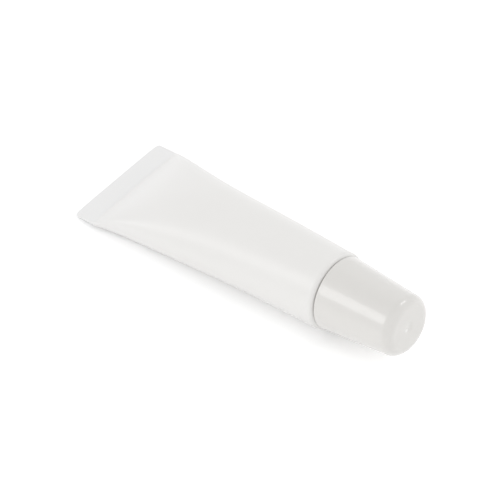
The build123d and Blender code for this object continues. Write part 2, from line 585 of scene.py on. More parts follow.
@dataclass(frozen=True)
class SoftMoulding:
    """Moulded soft plastic of the head and of the applicator tip, with a fine mould texture.

    Attributes:
        name: Name of the material.
        colour: White of the plastic.
        roughness: Roughness between its variations.
        tones: Lowest and highest level of the white over the flow marks.
        spread: Spread of the roughness with the flow marks, and with the mould texture.
        flow: Noise of the flow marks.
        texture: Noise of the mould texture.
        relief_depth: Depth of the mould texture, in millimetres.
        refraction: Index of refraction.
    """

    name: str
    colour: Colour
    roughness: float
    tones: Point = (0.985, 1.015)
    spread: float = 0.08
    flow: Grain = Grain(0.2, 0.35)
    texture: Grain = Grain(4.0, 4.0, 3.0)
    relief_depth: float = 0.01
    refraction: float = 1.5

    def material(self, lay: TubeLay) -> bpy.types.Material:
        """Makes the moulding's material.

        Args:
            lay: Where the tube lies.

        Returns:
            The material.
        """
        material, graph = new_graph(self.name)
        place = graph.tube_place(lay)
        flow = graph.grain(place, self.flow)
        texture = graph.grain(place, self.texture)
        base = graph.mottled(self.colour, self.tones, flow)
        rough = self.roughness + flow.stray(self.spread) + texture.stray(self.spread)
        graph.plastic(base, rough, graph.raised(texture, self.relief_depth), {"IOR": self.refraction})
        return material


@dataclass(frozen=True)
class WaxyBalm:
    """The balm: off-white wax and oil, soft and slightly uneven.

    Attributes:
        colour: Colour of the balm.
        tones: Lowest and highest level of that colour.
        roughness: Roughness between its variations.
        spread: Spread of the roughness.
        swirl: Noise of the swirls.
        relief_depth: Depth of the swirls, in millimetres.
        refraction: Index of refraction.
    """

    colour: Colour = (0.86, 0.8, 0.66)
    tones: Point = (0.95, 1.04)
    roughness: float = 0.34
    spread: float = 0.2
    swirl: Grain = Grain(0.25, 0.5, 4.0)
    relief_depth: float = 0.06
    refraction: float = 1.46

    def material(self, lay: TubeLay) -> bpy.types.Material:
        """Makes the balm's material.

        Args:
            lay: Where the tube lies.

        Returns:
            The material.
        """
        material, graph = new_graph("waxy_balm")
        place = graph.tube_place(lay)
        swirl = graph.grain(place, self.swirl)
        base = graph.mottled(self.colour, self.tones, swirl)
        rough = self.roughness + swirl.stray(self.spread)
        graph.plastic(base, rough, graph.raised(swirl, self.relief_depth), {"IOR": self.refraction})
        return material


Finish = Union[SatinFilm, GlossMoulding, SoftMoulding, WaxyBalm]


class Workpiece:
    """A closed mesh in the tube's own frame, in millimetres, until it becomes an object.

    Attributes:
        sharp_degrees: Angle from which an edge is shaded sharp.
    """

    sharp_degrees: float = 32.0

    def __init__(self, lay: TubeLay) -> None:
        """Starts an empty mesh."""
        self.lay = lay
        self.bm = bmesh.new()

    def turn(self, outline: list[Point], steps: int) -> None:
        """Spins an outline about the tube's axis.

        Args:
            outline: Points by distance along the axis and from it; a closed outline repeats its first.
            steps: Number of steps in the full turn.
        """
        corners = [self.bm.verts.new((along, 0.0, out)) for along, out in outline]
        edges = [self.bm.edges.new(pair) for pair in zip(corners, corners[1:])]
        bmesh.ops.spin(
            self.bm,
            geom=[*corners, *edges],
            cent=(0.0, 0.0, 0.0),
            axis=(1.0, 0.0, 0.0),
            dvec=(0.0, 0.0, 0.0),
            angle=FULL_TURN,
            steps=steps,
            use_merge=True,
        )
        bmesh.ops.remove_doubles(self.bm, verts=self.bm.verts, dist=SAME_PLACE)
        bmesh.ops.dissolve_degenerate(self.bm, edges=self.bm.edges, dist=NO_LENGTH)

    def reshape(self, rule: Callable[[Vector], Vector]) -> None:
        """Moves every vertex by a rule."""
        for vert in self.bm.verts:
            vert.co = rule(vert.co)

    def finish(self, name: str) -> bpy.types.Object:
        """Lays the mesh in the shared frame and makes its object.

        Args:
            name: Name of the object.

        Returns:
            The object, at the origin, with its place in its mesh.
        """
        bmesh.ops.recalc_face_normals(self.bm, faces=self.bm.faces)
        bmesh.ops.transform(self.bm, matrix=self.lay.matrix(), verts=self.bm.verts)
        for face in self.bm.faces:
            face.smooth = True
        mesh = bpy.data.meshes.new(name)
        self.bm.to_mesh(mesh)
        self.bm.free()
        mesh.set_sharp_from_angle(angle=math.radians(self.sharp_degrees))
        return put_in_scene(name, mesh)


def dress(piece: bpy.types.Object, finish: Finish, lay: TubeLay, rides: Rides, node: str) -> None:
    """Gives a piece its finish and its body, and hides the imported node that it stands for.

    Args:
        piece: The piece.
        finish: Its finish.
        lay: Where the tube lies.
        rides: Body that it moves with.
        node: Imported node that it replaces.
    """
    piece.data.materials.clear()
    piece.data.materials.append(finish.material(lay))
    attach(piece, rides.value)
    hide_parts(node)
    log.info("%s: %d faces, rides on %s", piece.name, len(piece.data.polygons), rides.value)


@dataclass(frozen=True)
class HelicalRidge:
    """A screw thread's ridge on a round wall, run out at both ends.

    Attributes:
        start: Distance along the tube of the ridge's first point, in millimetres.
        pitch: Rise in a turn.
        turns: Number of turns.
        height: Height of the ridge; below zero on a bore, where it stands inwards.
        crest: Half width of its crest.
        foot: Half width of its foot.
        run_out: Part of a turn over which it rises at either end.
    """

    start: float
    pitch: float
    turns: float
    height: float
    crest: float
    foot: float
    run_out: float = 0.12

    def lift(self, along: float, angle: float) -> float:
        """Height of the ridge at a place on the wall.

        Args:
            along: Distance along the tube.
            angle: Angle round the axis, in radians.

        Returns:
            The height in millimetres.
        """
        part = (angle / FULL_TURN) % 1.0
        turn = part + round((along - self.start) / self.pitch - part)
        off = abs(along - self.start - self.pitch * turn)
        ends = smooth(turn / self.run_out) * smooth((self.turns - turn) / self.run_out)
        return self.height * ends * smooth((self.foot - off) / (self.foot - self.crest))

    def raised(self, place: Vector, wall: float, low: float, high: float) -> Vector:
        """Lifts a point of the threaded wall onto the ridge.

        Args:
            place: Any point of the piece.
            wall: Radius of the threaded wall.
            low: Distance along the tube where that wall starts.
            high: Distance along the tube where it ends.

        Returns:
            The lifted point, or the point itself where it isn't on that wall.
        """
        out = math.hypot(place.y, place.z)
        if abs(out - wall) > ON_WALL or not low < place.x < high:
            return place
        grown = (out + self.lift(place.x, math.atan2(place.z, place.y))) / out
        return Vector((place.x, place.y * grown, place.z * grown))


@dataclass
class Sleeve:
    """The squeeze tube's sleeve: round at the shoulder, flat at the seal, the same girth all along.

    Attributes:
        lay: Where the tube lies.
        finish: Finish of the film.
        diameter: Diameter of the round end.
        wall: Thickness of the film.
        seal_length: Length of the welded seal.
        seal_thickness: Thickness of the welded seal.
        belly_length: Length from the seal's inner line to the round end.
        round_length: Length of the round stretch beside the shoulder.
        shoulder_start: Distance along the tube of the sleeve's rim.
        top_fullness: How fast the upper side fills out from the seal.
        underside_fullness: How fast the underside fills out from the seal.
        seal_squareness: Exponent of the section's outline at the seal.
        top_fade: How fast the upper half of the section turns into an ellipse.
        underside_fade: How fast its lower half does.
        cavity_start: Share of the belly where the hollow starts.
        corner_radius: Radius of the seal's corners.
        fold_squareness: Exponent of the outline within the seal, where the film's folds are pressed thin.
        fold_length: Length over which that exponent sets in.
        jaw_step: Depth of the line that the sealing jaws leave.
        jaw_width: Width of that line.
        bead: Height of the film pushed up beside that line.
        bead_width: Width of that bead.
        bead_offset: Distance of that bead from the seal's inner line.
        relief_share: Share of the belly that the line and the bead reach over.
        give: Height of the slow dents in the soft film.
        dent_length: Size of a dent along the tube.
        dent_turn: Size of the circle in the noise that the dents go round on.
        dent_start: Height of that circle in the noise.
        calm_shares: Shares of the belly without full dents, beside the seal and beside the round end.
        fine_before: Length of closely set rings before the seal's inner line.
        fine_after: Length of closely set rings after it.
        ridge_length: Length after it over which the ridges run out of the seal's corners.
        inner_ring: Size of the ring that gives the inner wall, where the outside has 1.
        around: Points around a section.
        girth_steps: Steps in which a quarter of a section is measured.
        width_halvings: Halvings that find a section's width.
    """

    lay: TubeLay
    finish: SatinFilm = field(default_factory=SatinFilm)
    diameter: float = 19.0
    wall: float = 0.5
    seal_length: float = 5.75
    seal_thickness: float = 0.9
    belly_length: float = 58.9
    round_length: float = 1.8
    shoulder_start: float = -1.2
    top_fullness: float = 4.5
    underside_fullness: float = 1.065
    seal_squareness: float = 8.0
    top_fade: float = 9.3
    underside_fade: float = 2.9
    cavity_start: float = 0.05
    corner_radius: float = 0.7
    fold_squareness: float = 4.0
    fold_length: float = 0.8
    jaw_step: float = 0.05
    jaw_width: float = 0.36
    bead: float = 0.07
    bead_width: float = 0.55
    bead_offset: float = 0.33
    relief_share: float = 0.2
    give: float = 0.05
    dent_length: float = 15.0
    dent_turn: float = 0.8
    dent_start: float = 4.7
    calm_shares: Point = (0.12, 0.2)
    fine_before: float = 0.7
    fine_after: float = 1.3
    ridge_length: float = 12.0
    inner_ring: float = 0.5
    around: int = 176
    girth_steps: int = 48
    width_halvings: int = 32

    def __post_init__(self) -> None:
        """Works out the places that follow from the sizes."""
        self.radius = self.diameter / 2
        self.seal_half = self.seal_thickness / 2
        self.belly_end = self.shoulder_start - self.round_length
        self.seal_line = self.belly_end - self.belly_length
        self.seal_end = self.seal_line - self.seal_length
        self.half_width = lru_cache(maxsize=None)(self._half_width)

    def share(self, along: float) -> float:
        """Share of the belly that lies between the seal's inner line and a place."""
        return min(max((along - self.seal_line) / self.belly_length, 0.0), 1.0)

    def half_height(self, share: float, power: float) -> float:
        """Half height of the section above or below the plane of the seal."""
        return self.seal_half + (self.radius - self.seal_half) * (1 - (1 - share) ** power)

    def squareness(self, share: float, fade: float) -> float:
        """Exponent of the section's outline, 2 for an ellipse."""
        return 2 + (self.seal_squareness - 2) * (1 - share) ** fade

    def half_girth(self, width: float, height: float, exponent: float) -> float:
        """Length of the outline over one side of the seal's plane.

        Args:
            width: Half width of the section.
            height: Its height over that plane.
            exponent: Exponent of its outline.

        Returns:
            The length from edge to edge.
        """
        angles = evenly(0.0, QUARTER_TURN, self.girth_steps)
        power = 2 / exponent
        corners = [Vector((width * math.cos(a) ** power, height * math.sin(a) ** power)) for a in angles]
        corners.append(Vector((0.0, height)))
        return 2 * sum((b - a).length for a, b in zip(corners, corners[1:]))

    def _half_width(self, share: float) -> float:
        """Half width that keeps the girth of the wall's middle the same all along.

        Args:
            share: Share of the belly.

        Returns:
            The half width in millimetres.
        """
        middle = self.wall / 2
        top = self.half_height(share, self.top_fullness) - middle
        bottom = self.half_height(share, self.underside_fullness) - middle
        over = self.squareness(share, self.top_fade)
        under = self.squareness(share, self.underside_fade)
        girth = 2 * self.half_girth(self.radius - middle, self.radius - middle, 2.0)
        low, high = 0.0, girth / 4
        for _ in range(self.width_halvings):
            width = (low + high) / 2
            if self.half_girth(width, top, over) + self.half_girth(width, bottom, under) < girth:
                low = width
            else:
                high = width
        return low + middle

    def stations(self) -> list[float]:
        """Places of the rings along the outside, close together where the form turns fast.

        Returns:
            The places, from the seal's end to the rim.
        """
        runs = (
            (self.seal_end, 9),
            (self.seal_end + self.corner_radius, 7),
            (self.seal_line - self.fine_before, 30),
            (self.seal_line + self.fine_after, 28),
            (self.seal_line + self.ridge_length, 56),
            (self.belly_end, 5),
        )
        stops = [*(start for start, _ in runs[1:]), self.shoulder_start]
        places = [place for (start, rings), stop in zip(runs, stops) for place in evenly(start, stop, rings)]
        return [*places, self.shoulder_start]

    def seal_relief(self, along: float) -> float:
        """Height of the jaws' line and of the bead beside it.

        Args:
            along: Distance along the tube.

        Returns:
            The height in millimetres.
        """
        line = (along - self.seal_line + self.jaw_width) / self.jaw_width
        ridge = (along - self.seal_line - self.bead_offset) / self.bead_width
        return self.bead * swell(ridge) - self.jaw_step * swell(line)

    def dent(self, along: float, angle: float) -> float:
        """Height of the slow dents of soft film that has been handled.

        Args:
            along: Distance along the tube.
            angle: Angle round the axis, in radians.

        Returns:
            The height in millimetres.
        """
        share = self.share(along)
        seal_calm, rim_calm = self.calm_shares
        calm = smooth(share / seal_calm) * smooth((1 - share) / rim_calm)
        across = math.cos(angle) * self.dent_turn
        upward = math.sin(angle) * self.dent_turn + self.dent_start
        return self.give * calm * noise.noise(Vector((along / self.dent_length, across, upward)))

    def section_point(self, ring: Vector) -> Vector:
        """Place on the film of a point on a unit ring; a smaller ring gives the inner wall.

        Args:
            ring: Point on the ring, with its place along the tube.

        Returns:
            The place on the film.
        """
        along, angle = ring.x, math.atan2(ring.z, ring.y)
        share = self.share(along)
        inside = math.hypot(ring.y, ring.z) < (1 + self.inner_ring) / 2
        rise = -self.wall if inside else self.seal_relief(along) * (share < self.relief_share)
        rise += self.dent(along, angle)
        width = self.half_width(share) + min(rise, 0.0)
        corner = self.corner_radius - min(along - self.seal_end, self.corner_radius)
        width -= self.corner_radius - math.sqrt(max(self.corner_radius**2 - corner**2, 0.0))
        fullness = self.top_fullness if ring.z > 0 else self.underside_fullness
        height = self.half_height(share, fullness) + rise
        exponent = self.squareness(share, self.top_fade if ring.z > 0 else self.underside_fade)
        folded = smooth((self.seal_line - along) / self.fold_length)
        exponent -= (self.seal_squareness - self.fold_squareness) * folded
        power = 2 / exponent
        across = math.copysign(width * abs(math.cos(angle)) ** power, math.cos(angle))
        upward = math.copysign(height * abs(math.sin(angle)) ** power, math.sin(angle))
        return Vector((along, across, upward))

    def build(self) -> bpy.types.Object:
        """Extrudes a ring along the outside, over the rim and back along the inner wall.

        Returns:
            The sleeve.
        """
        work = Workpiece(self.lay)
        upright = Matrix.Translation((self.seal_end, 0.0, 0.0)) @ Matrix.Rotation(QUARTER_TURN, 4, "Y")
        ring = bmesh.ops.create_circle(work.bm, segments=self.around, radius=1.0, matrix=upright)["verts"]
        edges = list({edge for vert in ring for edge in vert.link_edges})
        bmesh.ops.edgeloop_fill(work.bm, edges=edges)
        last = self.seal_end
        hollow = self.seal_line + self.cavity_start * self.belly_length
        inner = [self.shoulder_start, *reversed([s for s in self.stations()[:-1:2] if s > hollow]), hollow]
        runs = [(place, 1.0) for place in self.stations()[1:]]
        runs += [(place, self.inner_ring if place == self.shoulder_start else 1.0) for place in inner]
        for place, size in runs:
            made = bmesh.ops.extrude_edge_only(work.bm, edges=edges)["geom"]
            edges = [item for item in made if isinstance(item, bmesh.types.BMEdge)]
            ring = [item for item in made if isinstance(item, bmesh.types.BMVert)]
            bmesh.ops.translate(work.bm, verts=ring, vec=(place - last, 0.0, 0.0))
            bmesh.ops.scale(work.bm, verts=ring, vec=(1.0, size, size))
            last = place
        bmesh.ops.edgeloop_fill(work.bm, edges=edges)
        work.reshape(self.section_point)
        return work.finish("sleeve_film")

    def dress(self, piece: bpy.types.Object) -> None:
        """Gives the sleeve its film."""
        dress(piece, self.finish, self.lay, Rides.TUBE, "sleeve")


@dataclass
class TubeHead:
    """The moulded head: rounded shoulder, spigot inside the sleeve, and neck with its thread.

    Attributes:
        lay: Where the tube lies.
        finish: Finish of the moulding.
        radius: Radius of the tube.
        shoulder_radius: Radius of the shoulder's rounding.
        land: Width of the flat beside it.
        rise: Height of the cone between the flat and the neck.
        wall: Thickness of the shoulder.
        spigot_radius: Outer radius of the spigot.
        spigot_wall: Thickness of the spigot.
        spigot_end: Distance along the tube of the spigot's end.
        neck_radius: Radius of the neck between its threads.
        neck_length: Height of the neck.
        neck_chamfer: Bevel of the neck's rim.
        bore_radius: Radius of the neck's bore.
        seam: Width of the fine seam between the sleeve's rim and the rounding.
        thread: The thread's ridge.
        rounding_steps: Steps of the shoulder's rounding.
        neck_rings: Rings along the neck that carry the thread.
        around: Steps in a full turn.
    """

    lay: TubeLay
    finish: SoftMoulding = SoftMoulding("head_moulding", colour=(0.815, 0.806, 0.79), roughness=0.38)
    radius: float = 9.5
    shoulder_radius: float = 1.2
    land: float = 1.0
    rise: float = 0.8
    wall: float = 1.1
    spigot_radius: float = 8.95
    spigot_wall: float = 0.8
    spigot_end: float = -3.7
    neck_radius: float = 4.798
    neck_length: float = 6.8
    neck_chamfer: float = 0.4
    bore_radius: float = 3.498
    seam: float = 0.04
    thread: HelicalRidge = HelicalRidge(start=1.75, pitch=2.5, turns=1.65, height=0.62, crest=0.26, foot=0.62)
    rounding_steps: int = 16
    neck_rings: int = 60
    around: int = 128

    def outline(self) -> list[Point]:
        """Half section of the head.

        Returns:
            The points of the closed outline.
        """
        start = -self.shoulder_radius
        middle = (start + self.seam, self.radius - self.shoulder_radius)
        corner = (start, self.radius)
        steps = self.rounding_steps
        rounded = arc(middle, self.shoulder_radius, QUARTER_TURN, 0.0, steps)
        rounded = [(along - self.seam * step / steps, out) for step, (along, out) in enumerate(rounded)]
        land_edge = self.radius - self.shoulder_radius - self.land
        chamfer = self.neck_length - self.neck_chamfer
        neck = [(along, self.neck_radius) for along in evenly(self.rise, chamfer, self.neck_rings)]
        inside = self.spigot_radius - self.spigot_wall
        return [
            corner,
            *rounded,
            (0.0, land_edge),
            *neck,
            (chamfer, self.neck_radius),
            (self.neck_length, self.neck_radius - self.neck_chamfer),
            (self.neck_length, self.bore_radius),
            (self.rise - self.wall, self.bore_radius),
            (-self.wall, inside),
            (self.spigot_end, inside),
            (self.spigot_end, self.spigot_radius),
            (start, self.spigot_radius),
            corner,
        ]

    def threaded(self, place: Vector) -> Vector:
        """Raises the thread on the neck's wall."""
        return self.thread.raised(place, self.neck_radius, self.rise, self.neck_length)

    def build(self) -> bpy.types.Object:
        """Turns the head and raises its thread.

        Returns:
            The head.
        """
        work = Workpiece(self.lay)
        work.turn(self.outline(), self.around)
        work.reshape(self.threaded)
        return work.finish("head_and_neck")

    def dress(self, piece: bpy.types.Object) -> None:
        """Gives the head its moulded plastic."""
        dress(piece, self.finish, self.lay, Rides.TUBE, "tube_head")


@dataclass
class ApplicatorTip:
    """The slant-cut spreader tip: plug in the neck, flange on its rim, orifice in the slanted face.

    Attributes:
        lay: Where the tube lies.
        finish: Finish of the tip.
        neck_length: Distance along the tube of the neck's rim.
        plug_radius: Outer radius of the plug.
        plug_bore: Radius of the plug's bore.
        plug_length: Length of the plug.
        plug_chamfer: Bevel of the plug's end.
        flange_radius: Radius of the flange.
        flange_top: Distance along the tube of the flange's outer face.
        flange_chamfer: Bevel of the flange.
        radius: Radius of the tip over the flange.
        taper: Loss of radius up to the end.
        heel_top: Distance along the tube of the slanted face's near end.
        end: Distance along the tube of the slanted face's far end.
        cut_over: Length beyond that end that the slanted cut takes off.
        edge_round: Width of the rounding round the slanted face.
        orifice_radius: Radius of the orifice.
        orifice_depth: Length of the orifice along the axis.
        orifice_round: Width of the rounding at the orifice.
        toe_start: Distance along the tube where the toe of the slanted face starts to round off.
        toe_soft: Length over which it does.
        toe_draw: How far the toe is drawn in towards the axis.
        edge_steps: Steps of the rounding round the slanted face.
        orifice_steps: Steps of the rounding at the orifice.
        spoke_reach: Least reach outwards of a line of the slanted face between orifice and edge.
        face_cuts: Cuts in each of those lines.
        around: Steps in a full turn.
    """

    lay: TubeLay
    finish: SoftMoulding = SoftMoulding("tip_moulding", colour=(0.84, 0.832, 0.81), roughness=0.44)
    neck_length: float = 6.8
    plug_radius: float = 3.448
    plug_bore: float = 2.398
    plug_length: float = 4.5
    plug_chamfer: float = 0.25
    flange_radius: float = 4.398
    flange_top: float = 7.6
    flange_chamfer: float = 0.15
    radius: float = 4.098
    taper: float = 0.3
    heel_top: float = 8.15
    end: float = 16.35
    cut_over: float = 1.0
    edge_round: float = 0.75
    orifice_radius: float = 1.0
    orifice_depth: float = 3.2
    orifice_round: float = 0.25
    toe_start: float = 14.7
    toe_soft: float = 0.85
    toe_draw: float = 0.035
    edge_steps: int = 7
    orifice_steps: int = 4
    spoke_reach: float = 0.8
    face_cuts: int = 10
    around: int = 96

    def outline(self) -> list[Point]:
        """Half section of the tip before its slanted cut.

        Returns:
            The points of the closed outline.
        """
        base = self.neck_length - self.plug_length
        middle = (self.heel_top + self.end) / 2
        over = self.end + self.cut_over
        corner = (base, self.plug_bore)
        return [
            corner,
            (base, self.plug_radius - self.plug_chamfer),
            (base + self.plug_chamfer, self.plug_radius),
            (self.neck_length, self.plug_radius),
            (self.neck_length, self.flange_radius),
            (self.flange_top - self.flange_chamfer, self.flange_radius),
            (self.flange_top, self.flange_radius - self.flange_chamfer),
            (self.flange_top, self.radius),
            (over, self.radius - self.taper),
            (over, self.orifice_radius),
            (middle - self.orifice_depth, self.orifice_radius),
            (middle - self.orifice_depth, self.plug_bore),
            corner,
        ]

    def blunted(self, place: Vector) -> Vector:
        """Draws the toe of the slanted face back into a soft nose.

        Args:
            place: Any point of the tip.

        Returns:
            The point where it belongs.
        """
        past = max(place.x - self.toe_start, 0.0) / self.toe_soft
        along = min(place.x, self.toe_start) + self.toe_soft * (1 - math.exp(-past))
        drawn = 1 - self.toe_draw * past * past / (1 + past)
        return Vector((along, place.y * drawn, place.z * drawn))

    @staticmethod
    def reach(edge: bmesh.types.BMEdge) -> float:
        """How much further from the axis one end of an edge is than the other."""
        return abs(edge.verts[0].co.yz.length - edge.verts[1].co.yz.length)

    def build(self) -> bpy.types.Object:
        """Turns the tip, cuts it on the slant, closes the cut round the orifice and rounds edges and toe.

        Returns:
            The tip.
        """
        work = Workpiece(self.lay)
        work.turn(self.outline(), self.around)
        centre = Vector(((self.heel_top + self.end) / 2, 0.0, 0.0))
        slant = math.atan2(self.end - self.heel_top, 2 * self.radius)
        facing = Vector((math.cos(slant), 0.0, math.sin(slant)))
        bmesh.ops.bisect_plane(
            work.bm,
            geom=[*work.bm.verts, *work.bm.edges, *work.bm.faces],
            dist=SAME_PLACE,
            plane_co=centre,
            plane_no=facing,
            clear_outer=True,
        )
        rims = [edge for edge in work.bm.edges if edge.is_boundary]
        bmesh.ops.bridge_loops(work.bm, edges=rims)
        limit = (self.radius + self.orifice_radius) / 2
        outer = [edge for edge in rims if edge.verts[0].co.yz.length > limit]
        lip = [edge for edge in rims if edge.verts[0].co.yz.length <= limit]
        rounds = ((outer, self.edge_round, self.edge_steps), (lip, self.orifice_round, self.orifice_steps))
        for edges, width, segments in rounds:
            bmesh.ops.bevel(
                work.bm,
                geom=edges,
                offset=width,
                offset_type="OFFSET",
                segments=segments,
                profile=0.5,
                affect="EDGES",
                material=-1,
            )
        flat = [
            edge
            for edge in work.bm.edges
            if all(abs((vert.co - centre).dot(facing)) < ON_FACE for vert in edge.verts)
        ]
        spokes = [edge for edge in flat if self.reach(edge) > self.spoke_reach]
        bmesh.ops.subdivide_edges(work.bm, edges=spokes, cuts=self.face_cuts, use_grid_fill=True)
        work.reshape(self.blunted)
        return work.finish("applicator_spreader")

    def dress(self, piece: bpy.types.Object) -> None:
        """Gives the tip its soft plastic."""
        dress(piece, self.finish, self.lay, Rides.TUBE, "applicator_tip")


@dataclass
class Cap:
    """The one-piece screw cap: tapered skirt, roof with a gate dimple, threaded collar and ribs between them.

    Attributes:
        lay: Where the tube lies.
        finish: Finish of the cap.
        base: Distance along the tube of the skirt's rim.
        end: Distance along the tube of the end face.
        base_radius: Radius at the rim.
        end_radius: Radius at the end, before its rounding.
        wall: Thickness of the skirt.
        roof: Thickness of the roof.
        end_fillet: Radius of the end's rounding.
        base_fillet: Radius of the rim's rounding.
        slot_width: Width of the hollow between skirt and collar.
        collar_end: Distance along the tube of the collar's rim.
        thread_bore: Radius of the collar's threaded bore.
        collar_bore: Radius of the bore beyond the thread.
        bore_step: Distance along the tube where the bore steps in.
        rib_count: Number of ribs.
        rib_thickness: Thickness of a rib.
        rib_start: Distance along the tube of the ribs' lower ends.
        dimple_radius: Radius of the gate dimple.
        dimple_depth: Depth of the gate dimple.
        gate_radius: Radius of the gate's stub in the dimple.
        gate_height: Height of that stub.
        gate_segments: Segments of that stub, round it and over it.
        ring_inset: Distance of the end's last flat ring from its rounding.
        rim_chamfer: Bevel of the inner edges at the rims.
        thread_lead: Bevel of the collar's threaded mouth.
        rib_sunk: Depth by which a rib is sunk into the walls beside it.
        rib_turn: Turn of the ribs, as a share of the angle between two of them.
        thread: The thread's ridge.
        dish_steps: Rings of the dimple.
        rounding_steps: Steps of the end's rounding.
        rim_steps: Steps of the rim's rounding.
        side_steps: Rings along the tapered side.
        bore_rings: Rings along the threaded bore.
        around: Steps in a full turn.
    """

    lay: TubeLay
    finish: GlossMoulding = field(default_factory=GlossMoulding)
    base: float = 0.32
    end: float = 21.05
    base_radius: float = 8.95
    end_radius: float = 7.4
    wall: float = 1.1
    roof: float = 1.3
    end_fillet: float = 2.5
    base_fillet: float = 0.2
    slot_width: float = 0.6
    collar_end: float = 1.4
    thread_bore: float = 5.698
    collar_bore: float = 4.948
    bore_step: float = 7.4
    rib_count: int = 8
    rib_thickness: float = 0.7
    rib_start: float = 6.4
    dimple_radius: float = 1.7
    dimple_depth: float = 0.24
    gate_radius: float = 0.42
    gate_height: float = 0.2
    gate_segments: tuple[int, int] = (24, 14)
    ring_inset: float = 0.3
    rim_chamfer: float = 0.1
    thread_lead: float = 0.15
    rib_sunk: float = 0.08
    rib_turn: float = 0.25
    thread: HelicalRidge = HelicalRidge(start=2.1, pitch=2.5, turns=1.7, height=-0.19, crest=0.2, foot=0.45)
    dish_steps: int = 20
    rounding_steps: int = 20
    rim_steps: int = 6
    side_steps: int = 12
    bore_rings: int = 56
    around: int = 144

    def __post_init__(self) -> None:
        """Works out what follows from the sizes."""
        self.slope = (self.base_radius - self.end_radius) / (self.end - self.base)
        self.roof_under = self.end - self.roof

    def outer_radius(self, along: float) -> float:
        """Radius of the tapered outside at a place, before its edges are rounded."""
        return self.base_radius - self.slope * (along - self.base)

    def dish(self, out: float) -> float:
        """Distance along the tube of the soft gate dimple's surface, at a distance from the axis."""
        return self.end - self.dimple_depth * (1 + math.cos(math.pi * out / self.dimple_radius)) / 2

    def outside(self) -> list[Point]:
        """Outline of the outside.

        Returns:
            The points from the middle of the dimple to the rim of the skirt.
        """
        tilt = math.atan(self.slope)
        hollow = [(self.dish(out), out) for out in evenly(0.0, self.dimple_radius, self.dish_steps)]
        flat_radius = self.end_radius + self.end_fillet * (self.slope - 1 / math.cos(tilt))
        middle = (self.end - self.end_fillet, flat_radius)
        rounded = arc(middle, self.end_fillet, 0.0, QUARTER_TURN - tilt, self.rounding_steps)
        start = self.base + self.base_fillet
        rim_middle = (start, self.outer_radius(start) - self.base_fillet)
        rim = arc(rim_middle, self.base_fillet, QUARTER_TURN, math.pi, self.rim_steps)
        ring = [(self.end, out) for out in (self.dimple_radius, flat_radius - self.ring_inset)]
        places = evenly(rounded[-1][0], start, self.side_steps)[1:]
        side = [(along, self.outer_radius(along)) for along in places]
        return [*hollow, *ring, *rounded, *side, *rim]

    def inside(self) -> list[Point]:
        """Outline of the inside.

        Returns:
            The points from the rim of the skirt to the middle of the roof's underside.
        """
        skirt_start = self.outer_radius(self.base) - self.wall
        skirt_end = self.outer_radius(self.roof_under) - self.wall
        collar_out = self.outer_radius(self.collar_end) - self.wall - self.slot_width
        places = evenly(self.collar_end + self.thread_lead, self.bore_step, self.bore_rings)
        bore = [(along, self.thread_bore) for along in places]
        step = self.thread_bore - self.collar_bore
        return [
            (self.base, skirt_start + self.rim_chamfer),
            (self.base + self.rim_chamfer, skirt_start),
            (self.roof_under, skirt_end),
            (self.roof_under, skirt_end - self.slot_width),
            (self.collar_end + self.rim_chamfer, collar_out),
            (self.collar_end, collar_out - self.rim_chamfer),
            (self.collar_end, self.thread_bore + self.thread_lead),
            *bore,
            (self.bore_step, self.thread_bore),
            (self.bore_step + step, self.collar_bore),
            (self.roof_under, self.collar_bore),
            (self.roof_under, 0.0),
        ]

    def threaded(self, place: Vector) -> Vector:
        """Raises the thread in the collar's bore."""
        return self.thread.raised(place, self.thread_bore, self.collar_end, self.bore_step)

    def add_rib(self, work: Workpiece, number: int) -> None:
        """Sets one rib across the hollow between skirt and collar.

        Args:
            work: The cap's mesh.
            number: Number of the rib.
        """
        length = self.roof_under - self.rib_start + self.rib_sunk
        depth = self.slot_width + 2 * self.rib_sunk
        middle = self.rib_start + length / 2
        size = Matrix.Diagonal((length, self.rib_thickness, depth, 1.0))
        verts = bmesh.ops.create_cube(work.bm, size=1.0, matrix=size)["verts"]
        centre = self.outer_radius(middle) - self.wall - self.slot_width / 2
        bmesh.ops.translate(work.bm, verts=verts, vec=(middle, 0.0, centre))
        for vert in verts:
            vert.co.z -= self.slope * (vert.co.x - middle)
        spin = Matrix.Rotation(FULL_TURN * (number + self.rib_turn) / self.rib_count, 3, "X")
        bmesh.ops.rotate(work.bm, verts=verts, cent=(0.0, 0.0, 0.0), matrix=spin)

    def add_gate(self, work: Workpiece) -> None:
        """Sets the trimmed stub of the moulding gate in the dimple.

        Args:
            work: The cap's mesh.
        """
        place = Matrix.Translation((self.dish(math.hypot(*self.finish.gate)), *self.finish.gate))
        size = Matrix.Diagonal((self.gate_height, self.gate_radius, self.gate_radius, 1.0))
        round_it, over_it = self.gate_segments
        bmesh.ops.create_uvsphere(
            work.bm, u_segments=round_it, v_segments=over_it, radius=1.0, matrix=place @ size
        )

    def build(self) -> bpy.types.Object:
        """Turns the cap, raises its thread and sets its ribs and the gate's stub.

        Returns:
            The cap.
        """
        work = Workpiece(self.lay)
        work.turn([*self.outside(), *self.inside()], self.around)
        work.reshape(self.threaded)
        for number in range(self.rib_count):
            self.add_rib(work, number)
        self.add_gate(work)
        return work.finish("screw_cap")

    def dress(self, piece: bpy.types.Object) -> None:
        """Gives the cap its glossy plastic."""
        dress(piece, self.finish, self.lay, Rides.CAP, "cap")


@dataclass
class BalmFill:
    """The balm inside the sleeve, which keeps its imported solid.

    Attributes:
        lay: Where the tube lies.
        finish: Finish of the balm.
    """

    lay: TubeLay
    finish: WaxyBalm = field(default_factory=WaxyBalm)

    def dress(self) -> None:
        """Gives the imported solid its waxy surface."""
        piece = frame["nodes"]["balm_fill"]
        piece.data.materials.clear()
        piece.data.materials.append(self.finish.material(self.lay))
        log.info("balm_fill: packed solid with a new finish")


